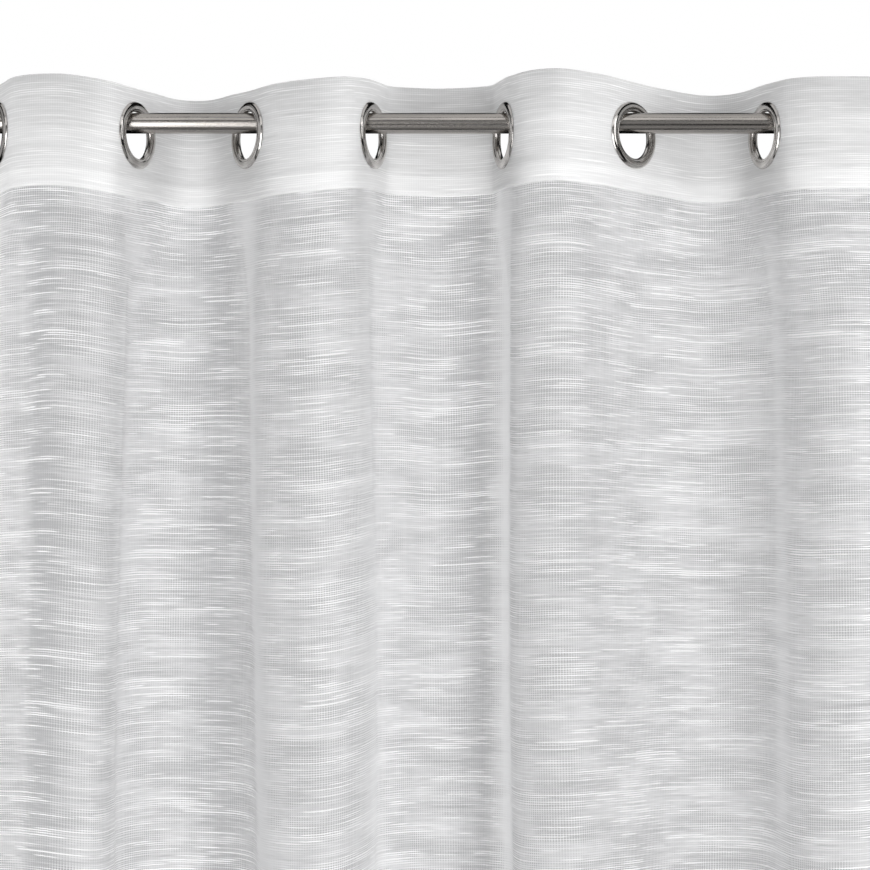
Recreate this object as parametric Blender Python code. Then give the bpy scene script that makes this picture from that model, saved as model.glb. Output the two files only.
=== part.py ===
"""Sheer voile curtain hung by metal eyelets on a round rod.

Metres, +Z up. X runs along the rod, to the right as seen from the room, and the
room is at -Y. The origin is on the rod's axis, halfway along the rod.
"""

import math
from collections import namedtuple

import bmesh
import bpy
import numpy as np
from mathutils import Matrix, Vector

# Clearance between pieces that touch on the real curtain.
GAP = 0.0003

# Rod: plain round bar with square ends.
ROD_RADIUS = 0.010
ROD_LENGTH = 1.120
ROD_SEGMENTS = 32

# Cloth, as cut and sewn, laid flat.
EYELET_COUNT = 8
EYELET_PITCH = 0.184
SIDE_MARGIN = 0.056
HEADING_DEPTH = 0.107
CURTAIN_DROP = 2.400
HEADING_THICKNESS = 0.0020
VOILE_THICKNESS = 0.0010

# Heights, measured from the rod's axis.
TOP_EDGE = 0.0365
HEADING_FOOT = TOP_EDGE - HEADING_DEPTH
HEM_EDGE = TOP_EDGE - CURTAIN_DROP

# Eyelets: a front ring with a barrel, and a back ring pressed onto the barrel.
EYELET_RADIUS = 0.0325
THROAT_RADIUS = 0.0225
BARREL_RADIUS = 0.0240
EYELET_DROP = 0.0119
EYELET_SEGMENTS = 24
HOLE_RADIUS = BARREL_RADIUS + 2 * GAP
HEADING_FACE = HEADING_THICKNESS / 2 + GAP

# Length of cloth that each eyelet keeps flat to either side, and the same far below it.
FLAT_AT_EYELET = 0.0335
HOLE_CELL = FLAT_AT_EYELET
FLAT_BELOW = 0.006

# How the gathers leave the heading: over this height they take their own form.
RELEASE_HEIGHT = 0.130
# Slow wander of each gather over the drop.
WANDER_X = 0.0035
WANDER_Y = 0.0060
WANDER_LENGTH = 1.30

# One row for each eyelet, from left to right. x is the place along the rod, and turn
# the way the cloth runs there, in degrees: positive goes away from the room.
# rod_: at the eyelet. free_: below the heading. hem_: at the bottom hem.
Gather = namedtuple("Gather", "rod_x rod_turn free_x free_turn hem_x hem_turn")
GATHERS = (
    Gather(-0.4260, -60, -0.4290, -66, -0.4380, -62),
    Gather(-0.2919, 66, -0.3000, 86, -0.3060, 78),
    Gather(-0.1830, -59, -0.1760, -84, -0.1700, -76),
    Gather(-0.0644, 69, -0.0700, 82, -0.0380, 74),
    Gather(0.0643, -75, 0.0670, -97, 0.0860, -84),
    Gather(0.1874, 45, 0.1860, 52, 0.1930, 62),
    Gather(0.3162, -71, 0.3240, -82, 0.3120, -78),
    Gather(0.4480, 58, 0.4520, 66, 0.4440, 64),
)
# One row for each fold between two eyelets. lift is how far its middle rides up, and
# crisp how sharply the heading turns away from the eyelets there.
Fold = namedtuple("Fold", "lift crisp")
FOLDS = (
    Fold(-0.0008, 0.0),
    Fold(-0.0010, 0.0),
    Fold(-0.0055, 0.0),
    Fold(0.0040, 7.0),
    Fold(0.0030, 0.0),
    Fold(0.0020, 0.0),
    Fold(0.0000, 0.0),
)
# Turn of the two side margins from the eyelet to the side hem, in degrees.
MARGIN_CURL = 34

# Mesh steps across and down the cloth.
STEPS_PER_BEND = 10
STEPS_PER_MARGIN = 3
PANEL_ROW_SHARES = (0, 0.014, 0.030, 0.050, 0.075, 0.11, 0.16, 0.23, 0.31, 0.40, 0.50, 0.60, 0.70, 0.80, 0.90, 1.0)
SUBSTEPS = 4
FIT_ROUNDS = 20
FIT_STRIDE = 0.5


def clear_objects():
    """Removes what the file already holds."""
    for item in list(bpy.data.objects):
        bpy.data.objects.remove(item, do_unlink=True)


# ---------------------------------------------------------------- materials


def finish(name, colour, roughness, metallic=0.0):
    """A Principled material."""
    material = bpy.data.materials.new(name)
    material.use_nodes = True
    shader = material.node_tree.nodes["Principled BSDF"]
    shader.inputs["Base Color"].default_value = (*colour, 1.0)
    shader.inputs["Roughness"].default_value = roughness
    shader.inputs["Metallic"].default_value = metallic
    material.diffuse_color = (*colour, 1.0)
    return material


def voile_finish():
    """Off-white open weave."""
    return finish("voile", (0.72, 0.72, 0.74), 0.85)


def heading_finish():
    """The same cloth, doubled and stiffened."""
    return finish("heading", (0.80, 0.80, 0.80), 0.85)


def eyelet_finish():
    """Polished nickel plate."""
    return finish("polished_nickel", (0.62, 0.60, 0.58), 0.12, 1.0)


def rod_finish():
    """Brushed nickel plate."""
    return finish("brushed_nickel", (0.50, 0.47, 0.44), 0.32, 1.0)


# ---------------------------------------------------------------- folds


def smooth(value):
    """0 to 1 with level ends."""
    value = min(max(value, 0.0), 1.0)
    return value * value * (3.0 - 2.0 * value)


def gathers_at(height):
    """Place and turn of every gather at a height: rows of x, y and turn in radians."""
    below = max(HEADING_FOOT - height, 0.0)
    freed = smooth(below / RELEASE_HEIGHT)
    fallen = below / (HEADING_FOOT - HEM_EDGE)
    rows = []
    for index, g in enumerate(GATHERS):
        x = g.rod_x + (g.free_x - g.rod_x) * freed + (g.hem_x - g.free_x) * fallen
        turn = g.rod_turn + (g.free_turn - g.rod_turn) * freed
        turn += (g.hem_turn - g.free_turn) * fallen
        phase = math.tau * below / WANDER_LENGTH
        x += WANDER_X * freed * math.sin(phase + 2.1 * index)
        y = WANDER_Y * freed * math.sin(phase + 1.3 * index + 0.8)
        rows.append((x, y, math.radians(turn)))
    return rows


def flat_at(height):
    """Length that stays straight to each side of a gather."""
    freed = smooth((HEADING_FOOT - height) / RELEASE_HEIGHT)
    return FLAT_AT_EYELET + (FLAT_BELOW - FLAT_AT_EYELET) * freed


def bend_run(start, end, crisp, swell, lean, length):
    """Plan of one bend, whose turn goes from start to end. A crisp bend turns near its
    ends and runs straight between them. Swell rounds it, and lean makes it fuller to one
    side. Returns the points after each step, from (0, 0)."""
    fine = STEPS_PER_BEND * SUBSTEPS
    u = (np.arange(fine) + 0.5) / fine
    turn = start * (1 - u) * np.exp(-crisp * u) + end * u * np.exp(crisp * (u - 1))
    turn = turn + swell * np.sin(math.tau * u) + lean * np.sin(math.pi * u) ** 2
    moves = np.stack((np.cos(turn), np.sin(turn)), axis=1) * (length / fine)
    return np.cumsum(moves, axis=0)[SUBSTEPS - 1 :: SUBSTEPS]


def fit_bend(start, end, crisp, length, reach):
    """The bend that ends at reach: swell and lean by Newton steps."""
    shape = np.zeros(2)
    nudge = 1e-4
    for _ in range(FIT_ROUNDS):
        miss = bend_run(start, end, crisp, *shape, length)[-1] - reach
        slopes = np.empty((2, 2))
        for k in range(2):
            moved = shape.copy()
            moved[k] += nudge
            slopes[:, k] = (bend_run(start, end, crisp, *moved, length)[-1] - reach - miss) / nudge
        stride = np.linalg.solve(slopes, miss)
        shape = shape - stride * min(1.0, FIT_STRIDE / max(np.linalg.norm(stride), FIT_STRIDE))
    return bend_run(start, end, crisp, *shape, length)


def margin_run(turn, curl, flat):
    """A side margin from its gather outwards, from (0, 0)."""
    length = SIDE_MARGIN - flat
    fine = STEPS_PER_MARGIN * SUBSTEPS
    u = (np.arange(fine) + 0.5) / fine
    bent = turn + curl * u**1.5
    moves = np.stack((np.cos(bent), np.sin(bent)), axis=1) * (length / fine)
    points = np.cumsum(moves, axis=0)[SUBSTEPS - 1 :: SUBSTEPS]
    return np.vstack(([0.0, 0.0], points)) + flat * np.array((math.cos(turn), math.sin(turn)))


def section(height):
    """Plan of the cloth at a height, from its left to its right edge: (x, y) points."""
    rows = gathers_at(height)
    flat = flat_at(height)
    held = (flat - FLAT_BELOW) / (FLAT_AT_EYELET - FLAT_BELOW)
    curl = math.radians(MARGIN_CURL)
    centres = [np.array((x, y)) for x, y, _ in rows]
    ways = [np.array((math.cos(turn), math.sin(turn))) for _, _, turn in rows]
    left = centres[0] - margin_run(rows[0][2], curl, flat)
    parts = [left[::-1]]
    for a in range(EYELET_COUNT - 1):
        b = a + 1
        start = centres[a] + ways[a] * flat
        end = centres[b] - ways[b] * flat
        length = EYELET_PITCH - 2 * flat
        bend = fit_bend(rows[a][2], rows[b][2], FOLDS[a].crisp * held, length, end - start)
        parts += [centres[a][None], start[None], start + bend]
    last = centres[-1] + margin_run(rows[-1][2], -curl, flat)
    parts += [centres[-1][None], last]
    return np.vstack(parts)


def lifts():
    """How far each point of a section rides up, in the order of section()."""
    values = [0.0] * (STEPS_PER_MARGIN + 1)
    for fold in FOLDS:
        values += [0.0, 0.0]
        for step in range(1, STEPS_PER_BEND + 1):
            values.append(fold.lift * math.sin(math.pi * step / STEPS_PER_BEND) ** 2)
    values += [0.0] * (STEPS_PER_MARGIN + 2)
    return values


# ---------------------------------------------------------------- pieces


def add_object(name, mesh, material):
    """Puts a mesh in the scene as a named piece."""
    mesh.materials.append(material)
    item = bpy.data.objects.new(name, mesh)
    bpy.context.collection.objects.link(item)
    return item


def towards_room(plan, distance):
    """A section moved sideways by a distance, towards the room where it is positive."""
    moves = np.diff(plan, axis=0)
    normals = np.stack((moves[:, 1], -moves[:, 0]), axis=1)
    normals /= np.linalg.norm(normals, axis=1)[:, None]
    before = np.vstack((normals[:1], normals))
    after = np.vstack((normals, normals[-1:]))
    scale = 1.0 + np.sum(before * after, axis=1)
    return plan + distance * (before + after) / scale[:, None]


def sheet_points(heights, side):
    """The points of a sheet's face, row by row from the top, half a thickness to a side."""
    rise = lifts()
    points = []
    for height in heights:
        plan = towards_room(section(height), side)
        points += [Vector((x, y, height + up)) for (x, y), up in zip(plan, rise)]
    return points


def grid_faces(row_count, column_count, skip=()):
    """The cells between the rows, less those named in skip as (row, column)."""
    faces = []
    for r in range(row_count - 1):
        for c in range(column_count - 1):
            if (r, c) not in skip:
                here = r * column_count + c
                below = here + column_count
                faces.append((here, below, below + 1, here + 1))
    return faces


def add_sheet(name, front, back, faces, material):
    """A closed sheet from its two faces, which share their layout, and walls at its edges."""
    count = len(front)
    edges = {(f[k], f[(k + 1) % len(f)]) for f in faces for k in range(len(f))}
    walls = [(b, a, a + count, b + count) for a, b in sorted(edges) if (b, a) not in edges]
    backs = [tuple(point + count for point in reversed(f)) for f in faces]
    mesh = bpy.data.meshes.new(name)
    mesh.from_pydata(front + back, [], list(faces) + backs + walls)
    mesh.shade_smooth()
    mesh.set_sharp_from_angle(angle=math.radians(60))
    return add_object(name, mesh, material)


def make_panel():
    """The voile below the heading, down to its hem."""
    top = HEADING_FOOT - GAP
    heights = [top + (HEM_EDGE - top) * share for share in PANEL_ROW_SHARES]
    front = sheet_points(heights, VOILE_THICKNESS / 2)
    back = sheet_points(heights, -VOILE_THICKNESS / 2)
    faces = grid_faces(len(heights), len(front) // len(heights))
    add_sheet("voile_panel", front, back, faces, voile_finish())


def hole_faces(ring, column, column_count):
    """Joins a round hole, whose points start at index ring, to the cells round it."""
    border = []
    for r, c in ((2, 1), (1, 1), (1, 0), (1, -1), (2, -1), (3, -1), (3, 0), (3, 1)):
        border.append(r * column_count + column + c)
    share = len(border) / EYELET_SEGMENTS
    faces = []
    for k in range(EYELET_SEGMENTS):
        near = border[round((k + 0.5) * share) % len(border)]
        previous = border[round((k - 0.5) * share) % len(border)]
        faces.append((ring + k, near, ring + (k + 1) % EYELET_SEGMENTS))
        if near != previous:
            faces.append((ring + k, previous, near))
    return faces


def hole_points(eyelets, side):
    """The points round every hole, half a thickness to a side."""
    points = []
    for centre, along, outward in eyelets:
        for k in range(EYELET_SEGMENTS):
            angle = math.tau * k / EYELET_SEGMENTS
            spoke = along * math.cos(angle) + Vector((0, 0, math.sin(angle)))
            points.append(centre + spoke * HOLE_RADIUS + outward * side)
    return points


def make_heading(eyelets):
    """The doubled, stiffened strip along the top, with a hole for each eyelet."""
    middle = -EYELET_DROP
    heights = (TOP_EDGE, middle + HOLE_CELL, middle, middle - HOLE_CELL, HEADING_FOOT)
    half = HEADING_THICKNESS / 2
    front = sheet_points(heights, half)
    back = sheet_points(heights, -half)
    column_count = len(front) // len(heights)
    columns = [STEPS_PER_MARGIN + 1 + k * (STEPS_PER_BEND + 2) for k in range(EYELET_COUNT)]
    skip = {(r, c - side) for c in columns for r in (1, 2) for side in (0, 1)}
    faces = grid_faces(len(heights), column_count, skip)
    for k, column in enumerate(columns):
        faces += hole_faces(len(front) + k * EYELET_SEGMENTS, column, column_count)
    front += hole_points(eyelets, half)
    back += hole_points(eyelets, -half)
    add_sheet("heading_band", front, back, faces, heading_finish())


def turned_mesh(name, profile):
    """A ring turned from a closed profile of (radius, height) points about Z."""
    bm = bmesh.new()
    loops = []
    for k in range(EYELET_SEGMENTS):
        angle = math.tau * k / EYELET_SEGMENTS
        cos, sin = math.cos(angle), math.sin(angle)
        loops.append([bm.verts.new((r * cos, r * sin, h)) for r, h in profile])
    count = len(profile)
    for k in range(EYELET_SEGMENTS):
        this, after = loops[k], loops[(k + 1) % EYELET_SEGMENTS]
        for p in range(count):
            q = (p + 1) % count
            bm.faces.new((this[p], this[q], after[q], after[p]))
    bmesh.ops.recalc_face_normals(bm, faces=bm.faces)
    mesh = bpy.data.meshes.new(name)
    bm.to_mesh(mesh)
    bm.free()
    mesh.shade_smooth()
    mesh.set_sharp_from_angle(angle=math.radians(40))
    return mesh


def front_ring_mesh():
    """Domed face with a stepped inner lip and the barrel through the cloth."""
    face = HEADING_FACE
    profile = (
        (THROAT_RADIUS + 0.0009, -face - 0.0012),
        (THROAT_RADIUS, 0.0),
        (THROAT_RADIUS + 0.0009, face + 0.0012),
        (BARREL_RADIUS + 0.0010, face + 0.0022),
        (EYELET_RADIUS - 0.0038, face + 0.0032),
        (EYELET_RADIUS - 0.0008, face + 0.0018),
        (EYELET_RADIUS, face),
        (BARREL_RADIUS, face),
        (BARREL_RADIUS, -face - 0.0012),
    )
    return turned_mesh("eyelet_front", profile)


def back_ring_mesh():
    """Flat washer with rounded edges round the barrel's end."""
    face = HEADING_FACE
    inner = BARREL_RADIUS + GAP
    outer = EYELET_RADIUS - 0.0005
    profile = (
        (inner, -face),
        (inner + 0.0008, -face - 0.0018),
        (outer - 0.0014, -face - 0.0018),
        (outer, -face),
    )
    return turned_mesh("eyelet_back", profile)


def make_eyelets(eyelets):
    """One front and one back ring for each eyelet."""
    plate = eyelet_finish()
    rings = (front_ring_mesh(), back_ring_mesh())
    for mesh in rings:
        mesh.materials.append(plate)
    for index, (centre, along, outward) in enumerate(eyelets):
        place = Matrix((along, Vector((0, 0, 1)), outward)).transposed().to_4x4()
        place.translation = centre
        for mesh in rings:
            item = bpy.data.objects.new(f"{mesh.name}_{index + 1}", mesh)
            bpy.context.collection.objects.link(item)
            item.matrix_world = place


def make_rod():
    """The rod that carries the curtain."""
    bm = bmesh.new()
    bmesh.ops.create_cone(
        bm,
        cap_ends=True,
        segments=ROD_SEGMENTS,
        radius1=ROD_RADIUS,
        radius2=ROD_RADIUS,
        depth=ROD_LENGTH,
        matrix=Matrix.Rotation(math.radians(90), 4, "Y"),
    )
    mesh = bpy.data.meshes.new("rod")
    bm.to_mesh(mesh)
    bm.free()
    mesh.shade_smooth()
    mesh.set_sharp_from_angle(angle=math.radians(40))
    add_object("rod", mesh, rod_finish())


def eyelet_places():
    """Centre, direction along the cloth and outward direction of every eyelet."""
    places = []
    for x, y, turn in gathers_at(TOP_EDGE):
        along = Vector((math.cos(turn), math.sin(turn), 0.0))
        outward = Vector((along.y, -along.x, 0.0))
        places.append((Vector((x, y, -EYELET_DROP)), along, outward))
    return places


def main():
    clear_objects()
    eyelets = eyelet_places()
    make_rod()
    make_heading(eyelets)
    make_panel()
    make_eyelets(eyelets)


main()
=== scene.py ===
"""Sheer slub voile curtain, hung by eight metal eyelets on a plain round rod.

Metres, +Z up. X runs along the rod, to the right as seen from the room, and the room is
at -Y. The rod's axis is at the origin.
"""

import math
from collections import namedtuple

import bmesh
import bpy
import numpy as np
from mathutils import Matrix, Vector


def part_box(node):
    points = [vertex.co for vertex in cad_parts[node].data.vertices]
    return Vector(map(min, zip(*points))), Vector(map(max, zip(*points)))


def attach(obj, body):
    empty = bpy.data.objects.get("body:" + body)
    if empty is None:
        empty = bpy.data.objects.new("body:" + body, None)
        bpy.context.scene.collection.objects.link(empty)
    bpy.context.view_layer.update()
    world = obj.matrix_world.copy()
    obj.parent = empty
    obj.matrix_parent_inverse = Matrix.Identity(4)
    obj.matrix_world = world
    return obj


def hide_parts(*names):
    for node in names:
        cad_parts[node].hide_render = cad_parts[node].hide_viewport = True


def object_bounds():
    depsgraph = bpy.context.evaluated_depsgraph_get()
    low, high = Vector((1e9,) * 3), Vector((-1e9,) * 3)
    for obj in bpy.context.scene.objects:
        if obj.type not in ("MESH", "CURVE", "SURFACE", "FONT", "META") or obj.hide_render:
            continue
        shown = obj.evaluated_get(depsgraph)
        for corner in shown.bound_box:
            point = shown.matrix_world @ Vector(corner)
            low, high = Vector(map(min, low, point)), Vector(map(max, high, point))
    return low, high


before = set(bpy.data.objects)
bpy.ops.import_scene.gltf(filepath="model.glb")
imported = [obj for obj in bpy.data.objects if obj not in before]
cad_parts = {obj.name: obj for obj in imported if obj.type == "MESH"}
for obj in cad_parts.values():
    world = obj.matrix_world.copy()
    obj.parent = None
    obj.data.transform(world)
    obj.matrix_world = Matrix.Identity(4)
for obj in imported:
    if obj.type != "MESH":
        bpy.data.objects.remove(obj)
part_low, part_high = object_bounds()


# ---------------------------------------------------------------- rod
# The rod is a steel tube of 20 mm, cut square at both ends. It was brushed along its
# length and plated in satin nickel, so fine streaks run down it. The eyelets are
# threaded on it.

rod_low, rod_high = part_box("rod")
ROD_RADIUS = (rod_high.z - rod_low.z) / 2
ROD_LENGTH = rod_high.x - rod_low.x
ROD_CHAMFER = 0.0007
ROD_SIDES = 96
NICKEL_SATIN = (0.46, 0.432, 0.405)
NICKEL_STREAK = (0.33, 0.315, 0.30)
FINE_STREAKS = (9.0, 620.0, 620.0)
BROAD_STREAKS = (14.0, 150.0, 150.0)
BROAD_SHARE = 0.15
SHARP_ANGLE = 35


def turned(name, profile, sides, closed=False):
    """A mesh turned about Z from (radius, height) points. A point on the axis ends it."""
    points = []
    rings = []
    for radius, height in profile:
        count = sides if radius > 0 else 1
        rings.append([len(points) + k for k in range(count)] * (sides // count))
        for k in range(count):
            angle = math.tau * k / sides
            points.append((radius * math.cos(angle), radius * math.sin(angle), height))
    faces = []
    for low, high in list(zip(rings, rings[1:])) + [(rings[-1], rings[0])] * closed:
        for k in range(sides):
            after = (k + 1) % sides
            corners = (low[k], low[after], high[after], high[k])
            faces.append(tuple(dict.fromkeys(corners)))
    mesh = bpy.data.meshes.new(name)
    mesh.from_pydata(points, [], faces)
    bm = bmesh.new()
    bm.from_mesh(mesh)
    bmesh.ops.recalc_face_normals(bm, faces=bm.faces)
    bm.to_mesh(mesh)
    bm.free()
    mesh.shade_smooth()
    mesh.set_sharp_from_angle(angle=math.radians(SHARP_ANGLE))
    return mesh


def put(name, mesh, material):
    """Puts a mesh in the scene as a piece of the curtain, on the part's only body."""
    if not mesh.materials:
        mesh.materials.append(material)
    piece = bpy.data.objects.new(name, mesh)
    bpy.context.collection.objects.link(piece)
    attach(piece, "root")
    return piece


def new_finish(name):
    """A material, its node tree and its Principled shader."""
    material = bpy.data.materials.new(name)
    material.use_nodes = True
    tree = material.node_tree
    return material, tree, tree.nodes["Principled BSDF"]


def add_node(tree, kind, inputs, **settings):
    """A shader node with its settings. Each input is a number, a colour or a socket."""
    node = tree.nodes.new(kind)
    for key, value in settings.items():
        setattr(node, key, value)
    for key, value in inputs.items():
        if isinstance(value, bpy.types.NodeSocket):
            tree.links.new(value, node.inputs[key])
        else:
            node.inputs[key].default_value = value
    return node


def calc(tree, operation, *values):
    """One step of arithmetic on numbers or sockets."""
    return add_node(tree, "ShaderNodeMath", dict(enumerate(values)), operation=operation).outputs[0]


def summed(tree, base, *terms):
    """A base plus every (socket, weight) term."""
    for socket, weight in terms:
        base = calc(tree, "MULTIPLY_ADD", socket, weight, base)
    return base


def ramp(tree, value, low, high, to_low=0.0, to_high=1.0):
    """A soft step: to_low below low, to_high above high."""
    inputs = {"Value": value, "From Min": low, "From Max": high}
    inputs |= {"To Min": to_low, "To Max": to_high}
    return add_node(tree, "ShaderNodeMapRange", inputs, interpolation_type="SMOOTHSTEP").outputs[0]


def noise(tree, place, detail=2.0, rough=0.5):
    """Cloudy variation from 0 to 1, about one cloud to a unit of place."""
    inputs = {"Vector": place, "Scale": 1.0, "Detail": detail, "Roughness": rough}
    return add_node(tree, "ShaderNodeTexNoise", inputs).outputs[0]


def stretched(tree, place, scale):
    """A place with each axis scaled by its own amount."""
    return add_node(tree, "ShaderNodeMapping", {"Vector": place, "Scale": scale}).outputs[0]


def blended(tree, share, low, high):
    """A colour between two others."""
    inputs = {"Factor": share, "A": (*low, 1.0), "B": (*high, 1.0)}
    node = tree.nodes.new("ShaderNodeMix")
    node.data_type = "RGBA"
    for key, value in inputs.items():
        socket = next(s for s in node.inputs if s.name == key and s.enabled)
        if isinstance(value, bpy.types.NodeSocket):
            tree.links.new(value, socket)
        else:
            socket.default_value = value
    return next(s for s in node.outputs if s.enabled)


def brushed_nickel():
    """Satin nickel with brush marks along X."""
    material, tree, shader = new_finish("brushed_nickel")
    place = add_node(tree, "ShaderNodeTexCoord", {}).outputs["Object"]
    fine = noise(tree, stretched(tree, place, FINE_STREAKS), 4.0, 0.6)
    broad = noise(tree, stretched(tree, place, BROAD_STREAKS), 2.0)
    streak = summed(tree, 0.0, (fine, 1 - BROAD_SHARE), (broad, BROAD_SHARE))
    colour = blended(tree, ramp(tree, streak, 0.36, 0.60), NICKEL_STREAK, NICKEL_SATIN)
    tree.links.new(colour, shader.inputs["Base Color"])
    tree.links.new(ramp(tree, streak, 0.35, 0.65, 0.28, 0.18), shader.inputs["Roughness"])
    bump = add_node(tree, "ShaderNodeBump", {"Height": fine, "Distance": 0.00004, "Strength": 0.5})
    tree.links.new(bump.outputs[0], shader.inputs["Normal"])
    shader.inputs["Metallic"].default_value = 1.0
    return material


rod_end = ROD_LENGTH / 2
rod_profile = (
    (0.0, -rod_end),
    (ROD_RADIUS - ROD_CHAMFER, -rod_end),
    (ROD_RADIUS, -rod_end + ROD_CHAMFER),
    (ROD_RADIUS, rod_end - ROD_CHAMFER),
    (ROD_RADIUS - ROD_CHAMFER, rod_end),
    (0.0, rod_end),
)
rod_mesh = turned("rod_tube", rod_profile, ROD_SIDES)
rod_mesh.transform(Matrix.Rotation(math.radians(90), 4, "Y"))
rod = put("rod_tube", rod_mesh, brushed_nickel())
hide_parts("rod")


# ---------------------------------------------------------------- heading
# The heading is the top 107 mm of the curtain: voile turned over a stiff white tape, so
# it is opaque and holds its curves. Eight round holes are punched in it, and it bends
# only between them. A row of lockstitch holds its foot.

EYELET_COUNT = 8
EYELET_PITCH = 0.184
EYELET_DROP = 0.0119
SIDE_MARGIN = 0.056
CLOTH_WIDTH = 2 * SIDE_MARGIN + EYELET_PITCH * (EYELET_COUNT - 1)
CURTAIN_DROP = 2.400
TOP_EDGE = 0.0365
HEADING_DEPTH = 0.107
HEADING_THICKNESS = 0.0020
HEADING_FOOT = TOP_EDGE - HEADING_DEPTH
HEM_EDGE = TOP_EDGE - CURTAIN_DROP

# Each hole sits in a square cell of the mesh, this far from its middle to its sides.
HOLE_RADIUS = 0.0246
HOLE_CELL = 0.0335
CELL_STEPS = 24
HOLE_RINGS = 5
BAY_STEPS = 40
MARGIN_STEPS = 8
TOP_ROWS = 6
FOOT_ROWS = 10
EDGE_ROUND_STEPS = 6
PUCKER_DEPTH = 0.0002

# Length of cloth that each eyelet keeps flat to either side, the same far below it, and
# the height over which the cloth lets go. Further down, the folds wander a little.
FLAT_AT_EYELET = 0.0335
FLAT_BELOW = 0.006
RELEASE_HEIGHT = 0.130
WANDER_X = 0.0035
WANDER_Y = 0.0060
WANDER_LENGTH = 1.30
MARGIN_CURL = 34
BEND_STEPS = 48
SUBSTEPS = 2
FIT_ROUNDS = 20
FIT_STRIDE = 0.5

# One row for each eyelet, from left to right: the place along the rod, and the way the
# cloth runs there in degrees, positive away from the room. rod_: at the eyelet. free_:
# below the heading. hem_: at the bottom hem.
Gather = namedtuple("Gather", "rod_x rod_turn free_x free_turn hem_x hem_turn")
GATHERS = (
    Gather(-0.4260, -60, -0.4290, -66, -0.4380, -62),
    Gather(-0.2919, 66, -0.3000, 86, -0.3060, 78),
    Gather(-0.1830, -59, -0.1760, -84, -0.1700, -76),
    Gather(-0.0644, 69, -0.0700, 82, -0.0380, 74),
    Gather(0.0643, -75, 0.0670, -97, 0.0860, -84),
    Gather(0.1874, 45, 0.1860, 52, 0.1930, 62),
    Gather(0.3162, -71, 0.3240, -82, 0.3120, -78),
    Gather(0.4480, 58, 0.4520, 66, 0.4440, 64),
)
# One row for each fold between two eyelets: how far the cloth rides up at the eyelet
# and at each quarter of the way to the next, in millimetres, and how sharply the
# heading turns away from the eyelets there.
Fold = namedtuple("Fold", "at_eyelet early middle late crisp")
FOLDS = (
    Fold(0.0, 1.0, 1.0, -4.0, 0.0),
    Fold(-2.5, 0.0, 0.0, -1.0, 0.0),
    Fold(-5.0, -7.0, -7.0, -0.5, 0.0),
    Fold(6.0, 8.0, 7.0, 9.0, 7.0),
    Fold(8.0, 3.0, 4.0, 4.5, 0.0),
    Fold(4.0, 4.0, 3.0, 3.5, 0.0),
    Fold(1.5, -2.0, -1.5, 0.0, 0.0),
)
EVENS_OUT_FROM = 0.80
EVENS_OUT_OVER = 1.20
CORNER_SOFTNESS = 0.009

ALLOWANCE = 0.018
ALLOWANCE_EDGE = 0.003
# Depth from the top edge over which painted shade darkens the heading.
PAINTED_TOP_SHADE_DEPTH = 0.060
TAPE_WHITE = (0.86, 0.86, 0.86)
TAPE_SHADE = (0.42, 0.42, 0.423)

# The weave. Lengths are in metres, and patterns are counted for each metre across the
# cloth and down it.
WEFT_PITCH = 0.0021
WEFT_UNEVEN = 1.6
WEFT_SWAY = 0.0018
WEFT_JITTER = 0.0004
WARP_PITCH = 0.0023
SWAYS = (12.0, 5.0, 1.0)
JITTERS = (190.0, 60.0, 1.0)
UNEVEN_ROWS = 95.0
SLUBS = 12.0
STRANDS = 15.0
CLUSTERS = (7.5, 46.0, 1.0)
CLUSTER_PULL = 0.62
OPEN_STRETCHES = (13.0, 34.0, 1.0)
PATCHES = (9.0, 38.0, 1.0)
WARP_STREAKS = (120.0, 3.5, 1.0)
YARN_STRIDE = 7.31
STRAND_OFFSET = 4.7


def smooth(value):
    """0 to 1 with level ends."""
    value = np.clip(value, 0.0, 1.0)
    return value * value * (3.0 - 2.0 * value)


def gathers_at(height):
    """Place and turn of every gather at a height: rows of x, y and turn in radians."""
    below = max(HEADING_FOOT - height, 0.0)
    freed = float(smooth(below / RELEASE_HEIGHT))
    fallen = below / (HEADING_FOOT - HEM_EDGE)
    phase = math.tau * below / WANDER_LENGTH
    rows = []
    for index, g in enumerate(GATHERS):
        x = g.rod_x + (g.free_x - g.rod_x) * freed + (g.hem_x - g.free_x) * fallen
        turn = g.rod_turn + (g.free_turn - g.rod_turn) * freed
        turn += (g.hem_turn - g.free_turn) * fallen
        x += WANDER_X * freed * math.sin(phase + 2.1 * index)
        y = WANDER_Y * freed * math.sin(phase + 1.3 * index + 0.8)
        rows.append((x, y, math.radians(turn)))
    return rows


def flat_at(height):
    """Length that stays straight to each side of a gather."""
    freed = float(smooth((HEADING_FOOT - height) / RELEASE_HEIGHT))
    return FLAT_AT_EYELET + (FLAT_BELOW - FLAT_AT_EYELET) * freed


def walked(turn, length):
    """Places reached by walking a length in the directions turn, every few steps."""
    moves = np.stack((np.cos(turn), np.sin(turn)), axis=1) * (length / len(turn))
    return np.cumsum(moves, axis=0)[SUBSTEPS - 1 :: SUBSTEPS]


def bend_run(start, end, crisp, swell, lean, length):
    """Plan of one bend. A crisp bend turns near its ends and runs straight between them.
    Swell rounds it, and lean makes it fuller to one side."""
    fine = BEND_STEPS * SUBSTEPS
    u = (np.arange(fine) + 0.5) / fine
    turn = start * (1 - u) * np.exp(-crisp * u) + end * u * np.exp(crisp * (u - 1))
    turn = turn + swell * np.sin(math.tau * u) + lean * np.sin(math.pi * u) ** 2
    return walked(turn, length)


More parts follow.
